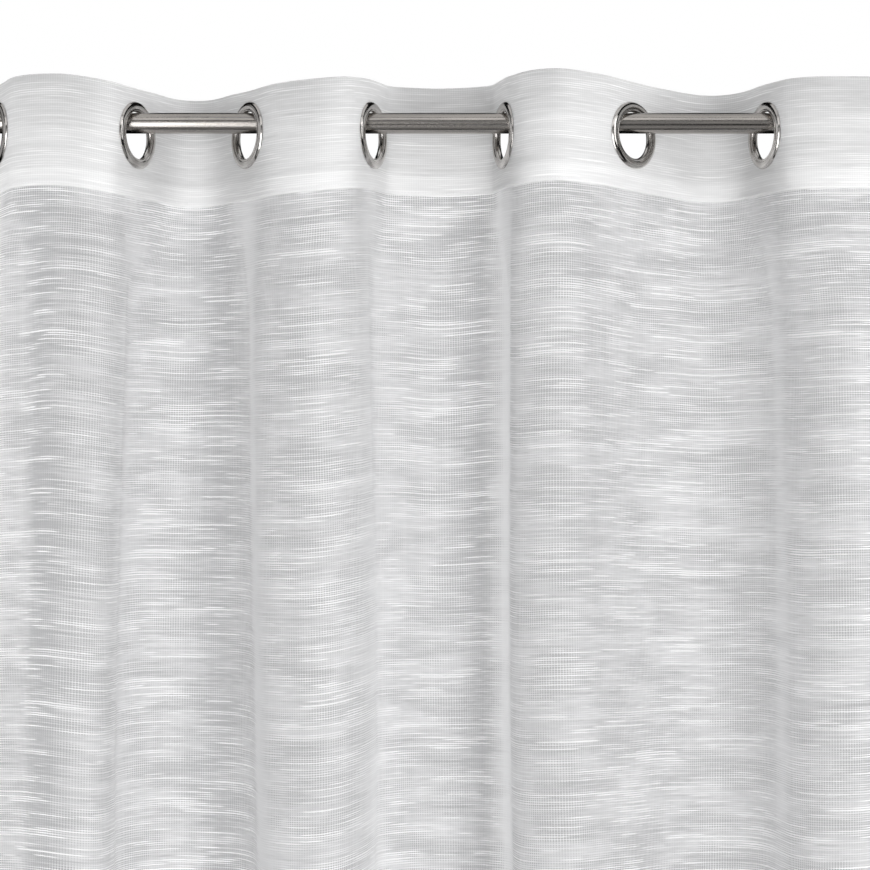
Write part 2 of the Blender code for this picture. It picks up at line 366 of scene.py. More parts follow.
def fit_bend(start, end, crisp, length, reach):
    """The bend that ends at reach: swell and lean by Newton steps."""
    shape = np.zeros(2)
    nudge = 1e-4
    for _ in range(FIT_ROUNDS):
        miss = bend_run(start, end, crisp, *shape, length)[-1] - reach
        slopes = np.empty((2, 2))
        for k in range(2):
            moved = shape.copy()
            moved[k] += nudge
            slopes[:, k] = (bend_run(start, end, crisp, *moved, length)[-1] - reach - miss) / nudge
        stride = np.linalg.solve(slopes, miss)
        shape = shape - stride * min(1.0, FIT_STRIDE / max(np.linalg.norm(stride), FIT_STRIDE))
        if np.linalg.norm(stride) < 1e-7:
            break
    return bend_run(start, end, crisp, *shape, length)


def margin_run(turn, curl, flat):
    """A side margin from its gather outwards, from (0, 0)."""
    fine = MARGIN_STEPS * SUBSTEPS
    u = (np.arange(fine) + 0.5) / fine
    points = walked(turn + curl * u**1.5, SIDE_MARGIN - flat)
    return np.vstack(([0.0, 0.0], points)) + flat * np.array((math.cos(turn), math.sin(turn)))


def plan_at(height):
    """The cloth's plan at a height: rows of place across the flat cloth, x and y."""
    rows = gathers_at(height)
    flat = flat_at(height)
    held = (flat - FLAT_BELOW) / (FLAT_AT_EYELET - FLAT_BELOW)
    curl = math.radians(MARGIN_CURL)
    middles = [np.array((x, y)) for x, y, _ in rows]
    ways = [np.array((math.cos(turn), math.sin(turn))) for _, _, turn in rows]
    margin = np.linspace(SIDE_MARGIN - flat, 0, MARGIN_STEPS + 1)
    left = middles[0] - margin_run(rows[0][2], curl, flat)
    parts = [np.column_stack((margin, left))[::-1]]
    for k in range(EYELET_COUNT - 1):
        at = SIDE_MARGIN + k * EYELET_PITCH
        start = middles[k] + ways[k] * flat
        end = middles[k + 1] - ways[k + 1] * flat
        length = EYELET_PITCH - 2 * flat
        crisp = FOLDS[k].crisp * held
        bend = start + fit_bend(rows[k][2], rows[k + 1][2], crisp, length, end - start)
        along = at + flat + length * np.arange(1, BEND_STEPS + 1) / BEND_STEPS
        parts.append(np.array([(at, *middles[k]), (at + flat, *start)]))
        parts.append(np.column_stack((along, bend)))
    right = middles[-1] + margin_run(rows[-1][2], -curl, flat)
    parts.append(np.array([(CLOTH_WIDTH - SIDE_MARGIN, *middles[-1])]))
    parts.append(np.column_stack((CLOTH_WIDTH - margin, right)))
    return softened(np.vstack(parts))


def softened(plan):
    """A plan with its sharpest corners rounded off."""
    even = np.linspace(0.0, CLOTH_WIDTH, 2 * round(CLOTH_WIDTH * 1000) + 1)
    reach = round(CORNER_SOFTNESS * 2000)
    weights = np.hanning(2 * reach + 3)[1:-1]
    lines = [even]
    for column in (1, 2):
        line = np.interp(even, plan[:, 0], plan[:, column])
        before = 2 * line[0] - line[reach:0:-1]
        after = 2 * line[-1] - line[-2 : -reach - 2 : -1]
        whole = np.concatenate((before, line, after))
        lines.append(np.convolve(whole, weights / weights.sum(), mode="valid"))
    return np.column_stack(lines)


def rise_at(across, height):
    """How far the cloth rides up at places across it, in metres. It evens out far down."""
    rows = [row[:4] for row in FOLDS]
    known = np.array([0.0, 0.0, 0.0, *np.ravel(rows), 0.0, 0.0, 0.0]) / 1000
    step = EYELET_PITCH / 4
    at = np.clip((across - SIDE_MARGIN) / step + 3, 1.0, len(known) - 2.001)
    k = at.astype(int)
    t = at - k
    a, b, c, d = (known[np.clip(k + i, 0, len(known) - 1)] for i in (-1, 0, 1, 2))
    curve = b + 0.5 * t * (c - a + t * (2 * a - 5 * b + 4 * c - d + t * (3 * b - a - 3 * c + d)))
    return curve * (1.0 - float(smooth((HEADING_FOOT - height - EVENS_OUT_FROM) / EVENS_OUT_OVER)))


def on_cloth(plan, across, height, out, share=1.0):
    """Points of the hung cloth, from places across it and distances out of it, which
    count towards the room. They ride up with the cloth by the share."""
    x = np.interp(across, plan[:, 0], plan[:, 1])
    y = np.interp(across, plan[:, 0], plan[:, 2])
    step = 0.0015
    before = np.clip(across - step, 0.0, CLOTH_WIDTH)
    after = np.clip(across + step, 0.0, CLOTH_WIDTH)
    dx = np.interp(after, plan[:, 0], plan[:, 1]) - np.interp(before, plan[:, 0], plan[:, 1])
    dy = np.interp(after, plan[:, 0], plan[:, 2]) - np.interp(before, plan[:, 0], plan[:, 2])
    size = np.hypot(dx, dy)
    z = height + share * rise_at(across, height)
    return np.column_stack((x + out * dy / size, y - out * dx / size, z))


def cloth_mesh(name, points, flat_places, faces):
    """A mesh whose UV map is each point's place on the flat cloth, in metres."""
    mesh = bpy.data.meshes.new(name)
    mesh.from_pydata(np.asarray(points).tolist(), [], faces)
    corners = np.empty(len(mesh.loops), dtype=np.int32)
    mesh.loops.foreach_get("vertex_index", corners)
    layer = mesh.uv_layers.new(name="flat_cloth")
    layer.data.foreach_set("uv", np.asarray(flat_places, dtype=np.float32)[corners].ravel())
    mesh.shade_smooth()
    return mesh


heading_plan = plan_at(TOP_EDGE)


def heading_columns():
    """Places across the heading: even steps that meet at the sides of each hole's cell."""
    stops = [0.0]
    counts = []
    for k in range(EYELET_COUNT):
        at = SIDE_MARGIN + k * EYELET_PITCH
        stops += [at - HOLE_CELL, at + HOLE_CELL]
        counts += [BAY_STEPS if k else MARGIN_STEPS, CELL_STEPS]
    stops.append(CLOTH_WIDTH)
    counts.append(MARGIN_STEPS)
    runs = [np.linspace(a, b, n, endpoint=False) for a, b, n in zip(stops, stops[1:], counts)]
    return np.append(np.concatenate(runs), CLOTH_WIDTH)


def heading_loop():
    """The heading's upright section, once round: (height, distance out) from its foot up
    the front, over the top and down the back."""
    half = HEADING_THICKNESS / 2
    middle = -EYELET_DROP
    rows = np.concatenate(
        (
            np.linspace(HEADING_FOOT + half, middle - HOLE_CELL, FOOT_ROWS, endpoint=False),
            np.linspace(middle - HOLE_CELL, middle + HOLE_CELL, CELL_STEPS, endpoint=False),
            np.linspace(middle + HOLE_CELL, TOP_EDGE - half, TOP_ROWS + 1),
        )
    )
    turn = np.linspace(0, math.pi, EDGE_ROUND_STEPS + 1)[1:-1]
    over = [(rows[-1] + half * math.sin(a), half * math.cos(a)) for a in turn]
    under = [(rows[0] - half * math.sin(a), -half * math.cos(a)) for a in turn]
    front = [(z, half) for z in rows]
    back = [(z, -half) for z in rows[::-1]]
    return front + over + back + under


def cell_border(first_column, first_row, row_step, column_count):
    """The grid points round a hole's cell, anticlockwise from its lower left corner."""
    n = CELL_STEPS
    steps = [(c, 0) for c in range(n)] + [(n, r) for r in range(n)]
    steps += [(n - c, n) for c in range(n)] + [(0, n - r) for r in range(n)]
    return [(first_row + r * row_step) * column_count + first_column + c for c, r in steps]


def ride_share(height):
    """The share of the rise at a height in the heading: none beside the rings, which
    stay level on the rod, and all of it at the top edge and the foot."""
    off = abs(height + EYELET_DROP) - HOLE_CELL
    edge = TOP_EDGE if height > -EYELET_DROP else HEADING_FOOT
    room = abs(edge + EYELET_DROP) - HOLE_CELL
    return min(max(off / room, 0.0), 1.0)


def flat_drop(across, height):
    """Distance down the flat cloth from its top edge."""
    return TOP_EDGE - height + (1.0 - ride_share(height)) * rise_at(across, height)


def pucker(across, height):
    """The slight unevenness of stiffened cloth, in metres out of it."""
    wave = 0.5 * np.sin(61 * across + 9 * height) + 0.3 * np.sin(143 * across - 31 * height + 1.0)
    return PUCKER_DEPTH * wave * (1.0 + ride_share(height))


def make_heading():
    """The heading's mesh, closed, with its eight holes."""
    columns = heading_columns()
    loop = heading_loop()
    count = len(columns)
    rows = (len(loop) - 2 * (EDGE_ROUND_STEPS - 1)) // 2
    points = []
    flat_places = []
    for height, out in loop:
        out = out + pucker(columns, height)
        points.append(on_cloth(heading_plan, columns, height, out, ride_share(height)))
        flat_places.append(np.column_stack((columns, flat_drop(columns, height))))
    points = list(np.vstack(points))
    flat_places = list(np.vstack(flat_places))

    front_row = FOOT_ROWS
    back_row = rows + (EDGE_ROUND_STEPS - 1) + (rows - 1 - FOOT_ROWS)
    first = [MARGIN_STEPS + k * (CELL_STEPS + BAY_STEPS) for k in range(EYELET_COUNT)]
    holes = {c + step for c in first for step in range(CELL_STEPS)}
    open_rows = {front_row + r for r in range(CELL_STEPS)}
    open_rows |= {back_row - CELL_STEPS + r for r in range(CELL_STEPS)}
    faces = []
    for r in range(len(loop)):
        above = (r + 1) % len(loop)
        for c in range(count - 1):
            here, over = r * count + c, above * count + c
            if not (r in open_rows and c in holes):
                faces.append((here, here + 1, over + 1, over))
    faces.append(tuple(r * count for r in range(len(loop))))
    faces.append(tuple(r * count + count - 1 for r in reversed(range(len(loop)))))

    for k, column in enumerate(first):
        centre = np.array((SIDE_MARGIN + k * EYELET_PITCH, -EYELET_DROP))
        rims = []
        for row, row_step, side in ((front_row, 1, 1), (back_row, -1, -1)):
            ring = cell_border(column, row, row_step, count)
            for share in np.linspace(1, 0, HOLE_RINGS + 1)[1:]:
                inner = []
                for place in cell_border(column, row, row_step, count):
                    spoke = np.array((columns[place % count], loop[place // count][0])) - centre
                    rim = spoke * HOLE_RADIUS / np.linalg.norm(spoke)
                    across, height = centre + rim + (spoke - rim) * share
                    out = side * HEADING_THICKNESS / 2 + float(pucker(across, height))
                    inner.append(len(points))
                    points.append(on_cloth(heading_plan, np.array([across]), height, out, 0.0)[0])
                    flat_places.append((across, float(flat_drop(np.array([across]), height)[0])))
                for a in range(len(ring)):
                    b = (a + 1) % len(ring)
                    quad = (ring[a], ring[b], inner[b], inner[a])
                    faces.append(quad if side > 0 else quad[::-1])
                ring = inner
            rims.append(ring)
        for a in range(len(rims[0])):
            b = (a + 1) % len(rims[0])
            faces.append((rims[0][a], rims[0][b], rims[1][b], rims[1][a]))
    return cloth_mesh("heading", points, flat_places, faces)


def wave(tree, turns):
    """From 0 at each whole turn to 1 halfway between two."""
    return calc(tree, "MULTIPLY_ADD", calc(tree, "COSINE", turns), -0.5, 0.5)


def slub_weave(tree):
    """The weave, from each point's place on the flat cloth: weft ribs of uneven pitch,
    fine warp, the gaps between them, how full each weft yarn is, slubs where one is
    thick, open stretches, soft patches, and streaks down the warp. They run from 0 to 1,
    except for strand, which goes to both sides of 0, and down, which is in metres."""
    place = add_node(tree, "ShaderNodeUVMap", {}, uv_map="flat_cloth").outputs[0]
    split = add_node(tree, "ShaderNodeSeparateXYZ", {"Vector": place})
    across, down = split.outputs["X"], split.outputs["Y"]
    sway = noise(tree, stretched(tree, place, SWAYS), 2.0)
    jitter = noise(tree, stretched(tree, place, JITTERS), 1.0)
    level = summed(tree, down, (sway, WEFT_SWAY), (jitter, WEFT_JITTER))
    row_place = {"Y": calc(tree, "MULTIPLY", level, UNEVEN_ROWS)}
    uneven = noise(tree, add_node(tree, "ShaderNodeCombineXYZ", row_place).outputs[0], 2.0)
    extra = calc(tree, "MULTIPLY", uneven, WEFT_UNEVEN)
    pick = calc(tree, "MULTIPLY_ADD", level, 1 / WEFT_PITCH, extra)
    weft = wave(tree, calc(tree, "MULTIPLY", pick, math.tau))
    warp = wave(tree, calc(tree, "MULTIPLY", across, math.tau / WARP_PITCH))
    gap = calc(tree, "MULTIPLY", calc(tree, "SUBTRACT", 1.0, weft), calc(tree, "SUBTRACT", 1.0, warp))
    body = ramp(tree, weft, 0.25, 0.95)

    number = calc(tree, "MULTIPLY", calc(tree, "FLOOR", pick), YARN_STRIDE)
    yarn_place = {"X": calc(tree, "MULTIPLY", across, SLUBS), "Y": number}
    thick = noise(tree, add_node(tree, "ShaderNodeCombineXYZ", yarn_place).outputs[0], 1.0, 0.5)
    cluster = noise(tree, stretched(tree, place, CLUSTERS), 3.0)
    reach = calc(tree, "MULTIPLY_ADD", cluster, CLUSTER_PULL, thick)
    strand_place = {"X": calc(tree, "MULTIPLY", across, STRANDS), "Y": number, "Z": STRAND_OFFSET}
    strand = noise(tree, add_node(tree, "ShaderNodeCombineXYZ", strand_place).outputs[0], 3.0, 0.6)
    return {
        "down": down,
        "weft": weft,
        "warp": warp,
        "gap": gap,
        "body": body,
        "strand": calc(tree, "SUBTRACT", strand, 0.5),
        "slub": calc(tree, "MULTIPLY", ramp(tree, reach, 0.89, 1.00), body),
        "open": ramp(tree, noise(tree, stretched(tree, place, OPEN_STRETCHES), 3.0), 0.40, 0.66),
        "patch": noise(tree, stretched(tree, place, PATCHES), 3.0),
        "streak": noise(tree, stretched(tree, place, WARP_STREAKS), 2.0),
    }


def voile_over_tape():
    """Opaque white: the weave shows as fine ribs and slubs, and the turned-in allowance
    makes the foot whiter. Painted shade darkens it towards its top edge."""
    material, tree, shader = new_finish("voile_over_tape")
    weave = slub_weave(tree)
    fuller = calc(tree, "MULTIPLY", weave["strand"], weave["weft"])
    ribs = ((weave["weft"], 0.12), (weave["warp"], 0.10), (fuller, 1.2), (weave["slub"], 0.28))
    rib = summed(tree, 0.0, *ribs)
    fold = HEADING_DEPTH - ALLOWANCE
    doubled = ramp(tree, weave["down"], fold - ALLOWANCE_EDGE, fold + ALLOWANCE_EDGE, 0.16, 0.36)
    # Painted shade: darker towards the top edge, standing in for less light there.
    painted_top_shade = ramp(tree, weave["down"], 0.0, PAINTED_TOP_SHADE_DEPTH, -0.26, 0.0)
    bright = summed(tree, rib, (weave["patch"], 0.36), (doubled, 1.0), (painted_top_shade, 1.0))
    bright = calc(tree, "MINIMUM", calc(tree, "MAXIMUM", bright, 0.0), 1.0)
    tree.links.new(blended(tree, bright, TAPE_SHADE, TAPE_WHITE), shader.inputs["Base Color"])
    bump = add_node(tree, "ShaderNodeBump", {"Height": rib, "Distance": 0.0003, "Strength": 0.5})
    tree.links.new(bump.outputs[0], shader.inputs["Normal"])
    shader.inputs["Roughness"].default_value = 0.85
    shader.inputs["Specular IOR Level"].default_value = 0.15
    shader.inputs["Sheen Weight"].default_value = 0.35
    shader.inputs["Sheen Roughness"].default_value = 0.5
    return material


heading = put("heading", make_heading(), voile_over_tape())
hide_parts("heading_band")


# ---------------------------------------------------------------- panel
# The panel is one length of sheer slub voile, an open plain weave with thick white
# stretches in its weft yarns. It hangs from the heading in the folds that the eyelets
# set. Its sides are turned back 25 mm and its bottom 80 mm, and stitched.

SIDE_HEM = 0.025
BOTTOM_HEM = 0.080
TURN_BACK = 0.0009
TURN_LENGTH = 0.0020
TUCKED_UP = 0.0030
PANEL_COLUMN_STEP = 0.0038
PANEL_ROW_STEP = 0.0150
YARN_WHITE = (0.97, 0.97, 0.975)
# GAP_GREY is painted shade: the gaps are mostly filled with it, at least GAP_SOLID, for the dim space
# seen through the cloth.
GAP_GREY = (0.315, 0.317, 0.326)
GAP_SOLID = 0.80
LIGHT_THROUGH = 0.25
MEAN_COVER = 0.436

# Bands of painted light and shade, in metres across the flat cloth: how much lighter, up to 1,
# how wide that is, how far it drifts sideways for each metre down, and how far below the
# heading's foot it starts. Above 0 it is painted light, whiter and more solid where the cloth
# turns edge-on at a gather, where its yarns are also drawn together. Below 0 it is painted
# shade, greyer in the depth of a fold.
ShadingBand = namedtuple("ShadingBand", "across drawn width drift start")
SHADING_BANDS = (
    ShadingBand(0.056, 0.70, 0.022, 0.000, 0.00),
    ShadingBand(0.129, -0.64, 0.020, 0.028, 0.00),
    ShadingBand(0.238, 0.55, 0.025, 0.008, 0.00),
    ShadingBand(0.356, -0.50, 0.026, 0.010, 0.00),
    ShadingBand(0.426, 1.05, 0.031, 0.034, 0.00),
    ShadingBand(0.494, -0.16, 0.020, 0.020, 0.00),
    ShadingBand(0.584, 0.46, 0.030, 0.010, 0.00),
    ShadingBand(0.612, 0.52, 0.028, 0.012, 0.00),
    ShadingBand(0.738, -0.46, 0.026, 0.004, 0.00),
    ShadingBand(0.770, 1.10, 0.018, 0.004, 0.00),
    ShadingBand(0.802, 0.85, 0.022, 0.004, 0.00),
    ShadingBand(0.839, 0.35, 0.014, 0.004, 0.00),
    ShadingBand(0.976, 0.10, 0.024, 0.000, 0.00),
    ShadingBand(1.116, 0.06, 0.026, 0.000, 0.00),
    ShadingBand(1.160, 0.75, 0.029, 0.010, 0.04),
    ShadingBand(1.344, 0.70, 0.022, 0.000, 0.00),
)

# Creases, in metres across the flat cloth and below the heading's foot: where each
# starts, how far it drifts sideways for each metre down, its depth towards the room,
# its width, and the stretch it runs over.
Crease = namedtuple("Crease", "across drift depth width top foot")
CREASES = (
    Crease(0.105, 0.010, -0.0080, 0.0260, 0.00, 2.10),
    Crease(0.175, 0.008, 0.0100, 0.0300, 0.00, 2.10),
    Crease(0.315, 0.010, -0.0060, 0.0220, 0.00, 2.10),
    Crease(0.525, 0.008, 0.0050, 0.0240, 0.00, 2.10),
    Crease(0.688, 0.012, -0.0120, 0.0260, 0.00, 2.10),
    Crease(0.745, 0.008, 0.0070, 0.0200, 0.00, 2.10),
    Crease(0.885, 0.000, 0.0080, 0.0260, 0.00, 2.10),
    Crease(1.068, 0.006, -0.0050, 0.0240, 0.00, 2.10),
    Crease(1.245, 0.000, 0.0060, 0.0260, 0.00, 2.10),
    Crease(0.226, 0.010, 0.0010, 0.0070, 0.08, 1.10),
    Crease(0.247, -0.006, -0.0008, 0.0080, 0.05, 1.60),
    Crease(0.415, 0.000, 0.0010, 0.0065, 0.00, 0.80),
    Crease(0.433, 0.010, -0.0009, 0.0080, 0.20, 1.90),
    Crease(0.598, 0.012, 0.0010, 0.0080, 0.00, 1.30),
    Crease(0.620, 0.016, -0.0009, 0.0100, 0.10, 1.80),
    Crease(0.783, 0.006, 0.0012, 0.0060, 0.00, 0.60),
    Crease(0.800, 0.008, -0.0010, 0.0060, 0.00, 1.50),
    Crease(0.938, 0.000, 0.0010, 0.0070, 0.00, 0.12),
    Crease(1.150, 0.004, 0.0009, 0.0070, 0.00, 0.80),
    Crease(1.170, 0.006, -0.0008, 0.0070, 0.30, 1.70),
)


def crease_depth(across, below):
    """How far the creases push the cloth out, at places across it."""
    depth = np.zeros_like(across)
    for c in CREASES:
        fade = smooth((below - c.top) / 0.08 + 0.5) * smooth((c.foot - below) / 0.60)
        offset = (across - c.across - c.drift * below) / c.width
        depth += c.depth * fade * np.exp(-offset * offset)
    return depth * float(smooth(below / 0.06))


def bunching_and_painted_shading(across, below):
    """Painted light, up to 1, and painted shade, below 0, at places across the cloth. At the
    gathers the yarns are also bunched.
    """
    drawn = np.zeros_like(across)
    for b in SHADING_BANDS:
        offset = (across - b.across - b.drift * below) / b.width
        drawn += b.drawn * float(smooth((below - b.start) / 0.10 + 0.6)) * np.exp(-(offset**2))
    return np.minimum(drawn, 1.0)


def spread_even(low, high, step):
    """Evenly spaced places from low to high, about a step apart."""
    return np.linspace(low, high, max(2, round((high - low) / step) + 1))


def with_turned_ends(even, low, high, hem_low, hem_high):
    """Places along one direction of the cloth, carried on past its folded edges, with
    close steps where it turns back."""
    turn = np.array((0.15, 0.4, 0.7, 1.0)) * TURN_LENGTH
    parts = [even]
    if hem_low:
        far = spread_even(low - hem_low, low - TURN_LENGTH, PANEL_COLUMN_STEP)[:-1]
        parts = [far, low - turn[::-1], *parts]
    if hem_high:
        far = spread_even(high + TURN_LENGTH, high + hem_high, PANEL_COLUMN_STEP * 2)[1:]
        parts += [high + turn, far]
    return np.concatenate(parts)


def make_panel():
    """The panel's mesh: one layer, with its hems turned back behind it."""
    even = spread_even(0.0, CLOTH_WIDTH, PANEL_COLUMN_STEP)
    columns = with_turned_ends(even, 0.0, CLOTH_WIDTH, SIDE_HEM, SIDE_HEM)
    across = np.minimum(np.abs(columns), 2 * CLOTH_WIDTH - np.abs(columns))
    past_side = np.maximum(-columns, columns - CLOTH_WIDTH)
    side_back = TURN_BACK * smooth(past_side / TURN_LENGTH)
    top = HEADING_DEPTH - TUCKED_UP
    close = HEADING_DEPTH + RELEASE_HEIGHT * 1.1
    upper = spread_even(top, close, PANEL_ROW_STEP / 2)[:-1]
    lower = spread_even(close, CURTAIN_DROP, PANEL_ROW_STEP)
    drops = with_turned_ends(np.append(upper, lower), top, CURTAIN_DROP, 0.0, BOTTOM_HEM)
    points = []
    flat_places = []
    bunched_and_painted_shading = []
    for drop in drops:
        past = max(drop - CURTAIN_DROP, 0.0)
        height = TOP_EDGE - min(drop, CURTAIN_DROP) + past
        below = HEADING_FOOT - height
        bottom_back = 2 * TURN_BACK * float(smooth(past / TURN_LENGTH))
        out = crease_depth(across, below) - side_back - bottom_back
        points.append(on_cloth(plan_at(height), across, height, out))
        flat_places.append(np.column_stack((columns, np.full(len(columns), drop))))
        bunched_and_painted_shading.append(bunching_and_painted_shading(across, below))
    count = len(columns)
    faces = []
    for r in range(len(drops) - 1):
        for c in range(count - 1):
            here = r * count + c
            faces.append((here, here + count, here + count + 1, here + 1))
    mesh = cloth_mesh("voile", np.vstack(points), np.vstack(flat_places), faces)
    # The points keep the painted light and shade of the bands, and the bunching at the gathers.
    layer = mesh.attributes.new("bunched_and_painted_shading", "FLOAT", "POINT")
    layer.data.foreach_set("value", np.concatenate(bunched_and_painted_shading).astype(np.float32))
    return mesh


def sheer_voile():
    """Partly see-through between its yarns, where a painted grey, standing for the dim space
    seen through, fills most of each gap, and white where a yarn is thick.
    """
    material, tree, shader = new_finish("sheer_voile")
    weave = slub_weave(tree)
    # Painted light and shade: the bands make the cloth whiter and more solid at the gathers, and
    # greyer in the depths of the folds.
    bunched_and_painted_shading = add_node(tree, "ShaderNodeAttribute", {}, attribute_name="bunched_and_painted_shading").outputs["Fac"]
    outside_bands = calc(tree, "SUBTRACT", 1.0, calc(tree, "MULTIPLY", bunched_and_painted_shading, 0.70))
    opened = calc(tree, "MULTIPLY_ADD", weave["open"], -0.95, -0.14)
    fuller = calc(tree, "MULTIPLY", weave["strand"], weave["body"])
    spread = summed(
        tree,
        MEAN_COVER,
        (weave["weft"], 0.10),
        (weave["warp"], 0.06),
        (calc(tree, "MULTIPLY", weave["gap"], opened), 1.0),
        (fuller, 2.1),
        (weave["slub"], 0.95),
        (calc(tree, "SUBTRACT", weave["patch"], 0.5), 0.34),
        (calc(tree, "SUBTRACT", weave["streak"], 0.5), 0.14),
    )
    cover = summed(tree, calc(tree, "MULTIPLY", spread, outside_bands), (bunched_and_painted_shading, 0.85))
    cover = calc(tree, "MINIMUM", calc(tree, "MAXIMUM", cover, 0.0), 1.0)
    colour = blended(tree, cover, GAP_GREY, YARN_WHITE)
    tree.links.new(colour, shader.inputs["Base Color"])
    rib = summed(tree, 0.0, (weave["weft"], 0.3), (weave["slub"], 0.8))
    relief = {"Height": calc(tree, "MULTIPLY", rib, outside_bands), "Distance": 0.0003, "Strength": 0.5}
    bump = add_node(tree, "ShaderNodeBump", relief)
    tree.links.new(bump.outputs[0], shader.inputs["Normal"])

    through = add_node(tree, "ShaderNodeBsdfTranslucent", {"Color": colour})
    # Painted glow: more light passes through the light bands.
    share = calc(tree, "MULTIPLY_ADD", bunched_and_painted_shading, 0.30, LIGHT_THROUGH)
    yarns = {0: share, 1: shader.outputs[0], 2: through.outputs[0]}
    cloth = add_node(tree, "ShaderNodeMixShader", yarns)
    gaps = add_node(tree, "ShaderNodeBsdfTransparent", {})
    solid = ramp(tree, calc(tree, "MAXIMUM", spread, cover), 0.15, 0.80, GAP_SOLID, 1.0)
    layers = {0: solid, 1: gaps.outputs[0], 2: cloth.outputs[0]}
    whole = add_node(tree, "ShaderNodeMixShader", layers)
    tree.links.new(whole.outputs[0], tree.nodes["Material Output"].inputs["Surface"])
    shader.inputs["Roughness"].default_value = 0.9
    shader.inputs["Specular IOR Level"].default_value = 0.1
    shader.inputs["Sheen Weight"].default_value = 0.15
    shader.inputs["Sheen Roughness"].default_value = 0.4
    return material


panel = put("voile", make_panel(), sheer_voile())
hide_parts("voile_panel")


# ---------------------------------------------------------------- stitching
# White polyester thread, in a lockstitch that shows on both faces of the heading's foot
# and along the side and bottom hems.

STITCH_LENGTH = 0.0026
STITCH_PITCH = 0.0034
STITCH_SIDES = 6
THREAD_RADIUS = 0.00022
FOOT_SEAM = 0.0035
HEM_SEAM_INSET = 0.004
SIDE_SEAM_INSET = 0.003
SEAM_END = 0.004
THREAD_WHITE = (0.86, 0.86, 0.87)
THREAD_SHADE = (0.70, 0.70, 0.72)

# A stitch from end to end: the place along it, as a share of its length, and its
# thickness and its height over the cloth, in thread radii.
Turn = namedtuple("Turn", "along width out")
STITCH_TURNS = (
    Turn(-0.50, 0.4, -0.6),
    Turn(-0.25, 1.0, 0.4),
    Turn(0.25, 1.0, 0.4),
    Turn(0.50, 0.4, -0.6),
)


def stitch_form():
    """One stitch in its own axes, along, upright and out, and its faces."""
    n = STITCH_SIDES
    points = []
    for bend in STITCH_TURNS:
        for k in range(n):
            angle = math.tau * k / n
            upright = bend.width * math.cos(angle)
            out = bend.out + bend.width * math.sin(angle)
            points.append((bend.along * STITCH_LENGTH, THREAD_RADIUS * upright, THREAD_RADIUS * out))
    faces = []
    for first in range(0, n * (len(STITCH_TURNS) - 1), n):
        for k in range(n):
            after = (k + 1) % n
            faces.append((first + k, first + after, first + n + after, first + n + k))
    faces.append(tuple(reversed(range(n))))
    faces.append(tuple(range(len(points) - n, len(points))))
    return np.array(points), faces


def stitched(name, seams):
    """Stitches along seams. Each seam is points, directions along it, and directions out."""
    form, form_faces = stitch_form()
    points = []
    faces = []
    for places, along, out in seams:
        upright = np.cross(out, along)
        for p, a, u, o in zip(places, along, upright, out):
            first = len(points) * len(form)
            points.append(p + form @ np.array((a, u, o)))
            faces += [tuple(first + i for i in f) for f in form_faces]
    mesh = bpy.data.meshes.new(name)
    mesh.from_pydata(np.vstack(points).tolist(), [], faces)
    mesh.shade_smooth()
    return mesh


def unit(rows):
    """Rows of directions, each one metre long."""
    return rows / np.linalg.norm(rows, axis=1)[:, None]


def seam_across(height, side, behind=0.0):
    """A level seam, on the side towards the room (1) or away from it (-1)."""
    across = np.arange(SEAM_END, CLOTH_WIDTH - SEAM_END, STITCH_PITCH)
    plan = plan_at(height)
    share = ride_share(height)
    at = on_cloth(plan, across, height, side * behind, share)
    ahead = on_cloth(plan, across + 0.0004, height, side * behind, share)
    raised = on_cloth(plan, across, height, side * behind + side * 0.001, share)
    return at, unit(ahead - at), unit(raised - at)


def seam_down(across, low, high):
    """An upright seam at a place across the cloth, on the side towards the room."""
    where = np.array([across])
    points = []
    outs = []
    for height in np.arange(low, high, STITCH_PITCH):
        plan = plan_at(height)
        push = crease_depth(where, HEADING_FOOT - height)
        points.append(on_cloth(plan, where, height, push)[0])
        outs.append(on_cloth(plan, where, height, push + 0.001)[0] - points[-1])
    points = np.array(points)
    return points, unit(np.gradient(points, axis=0)), unit(np.array(outs))


def thread_finish():
    """Twisted thread, faintly banded."""
    material, tree, shader = new_finish("thread")
    place = add_node(tree, "ShaderNodeTexCoord", {}).outputs["Object"]
    twist = noise(tree, stretched(tree, place, (2500.0, 2500.0, 2500.0)), 2.0)
    tree.links.new(blended(tree, twist, THREAD_SHADE, THREAD_WHITE), shader.inputs["Base Color"])
    shader.inputs["Roughness"].default_value = 0.6
    return material


thread = thread_finish()
face = HEADING_THICKNESS / 2
foot_seam = HEADING_FOOT + FOOT_SEAM
heading_seams = [seam_across(foot_seam, side, behind=face) for side in (1, -1)]
heading_stitches = stitched("heading_stitches", heading_seams)
heading_thread = put("heading_stitches", heading_stitches, thread)

hem_seam = HEM_EDGE + BOTTOM_HEM - HEM_SEAM_INSET
side_seam = SIDE_HEM - SIDE_SEAM_INSET
panel_seams = [seam_across(hem_seam, 1), seam_across(hem_seam, -1, behind=3 * TURN_BACK)]
for across in (side_seam, CLOTH_WIDTH - side_seam):
    panel_seams.append(seam_down(across, HEM_EDGE + SEAM_END, HEADING_FOOT - 0.002))
hem_stitches = stitched("hem_stitches", panel_seams)
panel_thread = put("hem_stitches", hem_stitches, thread)


# ---------------------------------------------------------------- eyelets
# Each eyelet is two pressed steel rings, nickel plated and polished. The front ring has a
# domed face and a barrel that goes through the heading. The back ring is a flat washer,
# and the barrel's end is rolled over it to hold both.

EYELET_RADIUS = 0.0325
THROAT_RADIUS = 0.0225
BARREL_RADIUS = 0.0240
HEADING_FACE = HEADING_THICKNESS / 2 + 0.0003
EYELET_SIDES = 96
CURVE_STEPS = 5
NICKEL_BRIGHT = (0.66, 0.64, 0.62)
NICKEL_DULL = (0.50, 0.48, 0.46)


